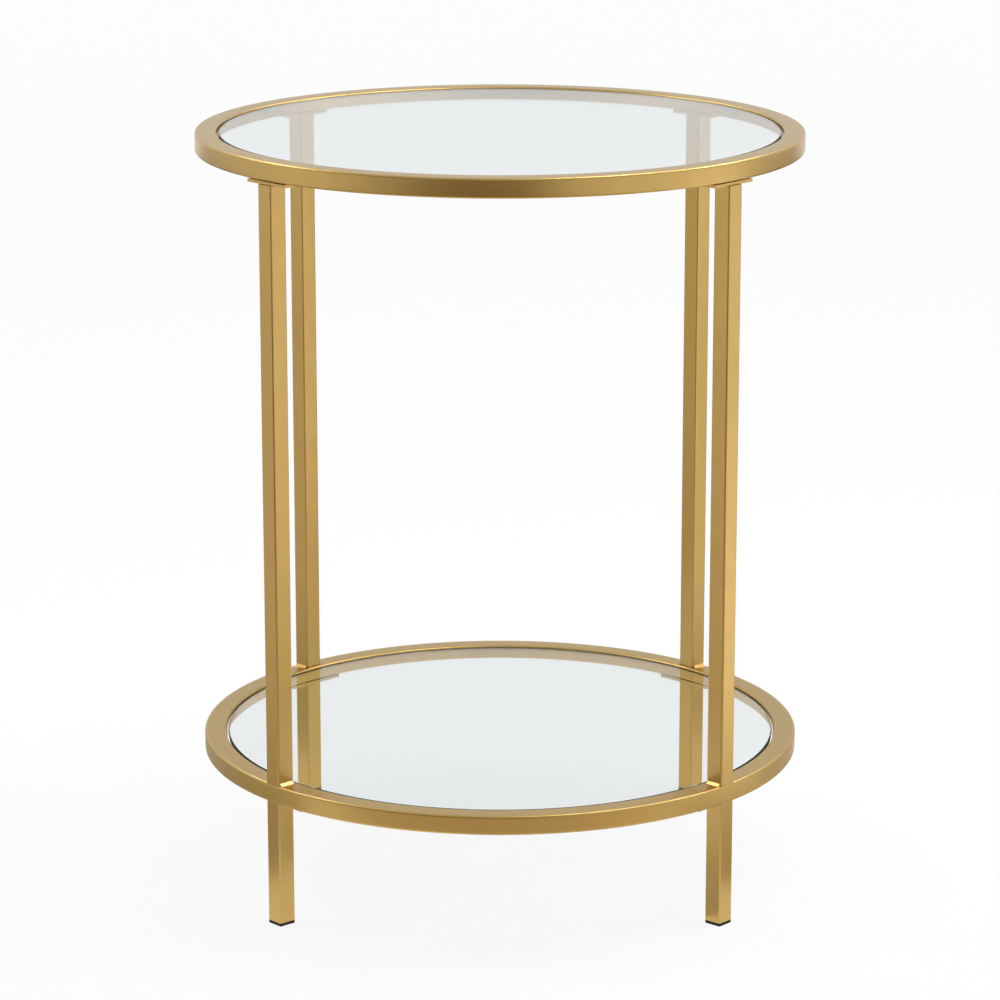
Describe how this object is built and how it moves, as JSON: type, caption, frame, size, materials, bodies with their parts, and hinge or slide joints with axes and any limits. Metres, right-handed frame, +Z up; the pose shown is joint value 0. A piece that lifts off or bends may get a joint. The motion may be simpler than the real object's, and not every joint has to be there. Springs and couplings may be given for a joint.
{
  "type": "tiered side table",
  "caption": "Round side table with two tiers of clear glass set into gold tube rings, joined by upright square legs with black foot caps.",
  "frame": {"origin": "on the floor, on the axis of the two rings", "axes": "+Z up along the axis of the rings, +X to the right, -Y towards the front"},
  "size_m": [0.508, 0.508, 0.64],
  "materials": {
    "gold_frame": "satin",
    "clear_glass": "polished",
    "clear_rest": "clear moulded",
    "black_foot": "moulded"
  },
  "bodies": {
    "frame": {"top_ring": "gold_frame", "lower_ring": "gold_frame", "leg_front_right": "gold_frame", "top_plate_front_right": "gold_frame", "shelf_plate_front_right": "gold_frame", "foot_front_right": "black_foot", "leg_back_right": "gold_frame", "top_plate_back_right": "gold_frame", "shelf_plate_back_right": "gold_frame", "foot_back_right": "black_foot", "leg_back_left": "gold_frame", "top_plate_back_left": "gold_frame", "shelf_plate_back_left": "gold_frame", "foot_back_left": "black_foot", "leg_front_left": "gold_frame", "top_plate_front_left": "gold_frame", "shelf_plate_front_left": "gold_frame", "foot_front_left": "black_foot", "top_glass_rests": "clear_rest", "shelf_glass_rests": "clear_rest", "shelf_welds": "gold_frame"},
    "top_glass": {"top_glass": "clear_glass"},
    "shelf_glass": {"shelf_glass": "clear_glass"}
  },
  "joints": [
    {"name": "top_glass_lift", "type": "slide", "parent": "frame", "child": "top_glass", "axis": [0, 0, 1], "range_m": [0, 0.15]},
    {"name": "shelf_glass_lift", "type": "slide", "parent": "frame", "child": "shelf_glass", "axis": [0, 0, 1], "range_m": [0, 0.15]}
  ]
}
